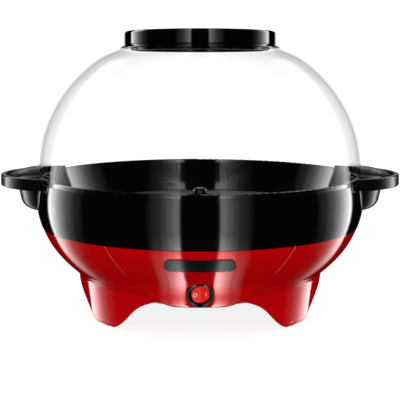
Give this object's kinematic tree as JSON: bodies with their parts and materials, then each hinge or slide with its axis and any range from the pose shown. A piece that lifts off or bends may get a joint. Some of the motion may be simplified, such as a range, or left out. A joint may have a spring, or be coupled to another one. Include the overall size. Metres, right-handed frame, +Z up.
{
  "type": "popcorn maker",
  "caption": "Electric stirring popcorn maker: a heated pan with a turning wire arm in a round red base on legs, under a clear lift-off dome with side handles and a vented top with a lid.",
  "frame": {"origin": "middle of the footprint, on the table under the stirrer's shaft", "axes": "+Z up along the stirrer's shaft; -Y is the front, with the switch; the handles are at +X and -X"},
  "size_m": [0.38, 0.311, 0.2658],
  "materials": {
    "red_plastic": "high gloss",
    "black_plastic": "high gloss",
    "handle_plastic": "satin",
    "badge_plastic": "satin",
    "rubber": "matt",
    "cover_plastic": "matt",
    "steel": "satin",
    "coated_aluminium": "non-stick coating, satin",
    "aluminium": "rolled",
    "silicone": "matt",
    "ceramic": "matt",
    "copper_winding": "varnished",
    "magnet": "matt",
    "nylon": "satin",
    "brass": "machined",
    "lamp_red": "translucent, glossy",
    "clear_plastic": "clear, glossy",
    "wire_sleeve": "woven sleeve"
  },
  "bodies": {
    "base": {"red_housing": "red_plastic", "name_badge": "badge_plastic", "foot_pads": "rubber", "bottom_cover": "cover_plastic", "bottom_screws": "steel", "upper_ring": "black_plastic", "right_base_handle": "handle_plastic", "left_base_handle": "handle_plastic", "heating_pan": "coated_aluminium", "pan_seal": "silicone", "heating_element": "steel", "element_clamps": "steel", "thermostat": "ceramic", "thermal_fuse": "steel", "heat_shield": "aluminium", "shield_standoffs": "steel", "motor_can": "steel", "motor_coil": "copper_winding", "gearbox_lower_plate": "steel", "gearbox_upper_plate": "steel", "gearbox_pillars": "steel", "motor_screws": "steel", "cluster_pin": "steel", "shaft_bushing": "brass", "bushing_nut": "steel", "shaft_seal": "silicone", "switch_bezel": "black_plastic", "switch_body": "black_plastic", "switch_terminals": "brass", "cord_inlet": "black_plastic", "terminal_block": "ceramic", "internal_wires": "wire_sleeve"},
    "drive": {"output_gear": "nylon", "output_shaft": "steel"},
    "cluster": {"cluster_gear": "nylon"},
    "rotor": {"rotor_magnet": "magnet", "rotor_shaft": "steel", "rotor_pinion": "nylon"},
    "stirrer": {"stirrer_hub": "black_plastic", "stirrer_arms": "steel", "stirrer_knob": "black_plastic"},
    "dome": {"clear_dome": "clear_plastic", "right_dome_handle": "handle_plastic", "left_dome_handle": "handle_plastic", "vent_collar": "black_plastic"},
    "lid": {"lid_cap": "black_plastic"},
    "rocker": {"switch_rocker": "lamp_red"}
  },
  "joints": [
    {"name": "stir_spin", "type": "hinge", "parent": "base", "child": "drive", "pos_m": [0, 0, 0.08], "axis": [0, 0, 1], "continuous": true},
    {"name": "cluster_spin", "type": "hinge", "parent": "base", "child": "cluster", "pos_m": [0.03, 0, 0.05], "axis": [0, 0, 1], "continuous": true},
    {"name": "rotor_spin", "type": "hinge", "parent": "base", "child": "rotor", "pos_m": [0, 0, 0.04], "axis": [0, 0, 1], "continuous": true},
    {"name": "stirrer_lift", "type": "slide", "parent": "drive", "child": "stirrer", "axis": [0, 0, 1], "range_m": [0, 0.06]},
    {"name": "dome_lift", "type": "slide", "parent": "base", "child": "dome", "axis": [0, 0, 1], "range_m": [0, 0.15]},
    {"name": "lid_lift", "type": "slide", "parent": "dome", "child": "lid", "axis": [0, 0, 1], "range_m": [0, 0.06]},
    {"name": "switch_rock", "type": "hinge", "parent": "base", "child": "rocker", "pos_m": [0, -0.12128, 0.04347], "axis": [0, -0.225, 0.9744], "range_deg": [-16, 0]}
  ],
  "couplings": [
    {"joint": "cluster_spin", "follows": "stir_spin", "ratio": -4},
    {"joint": "rotor_spin", "follows": "stir_spin", "ratio": 16}
  ]
}
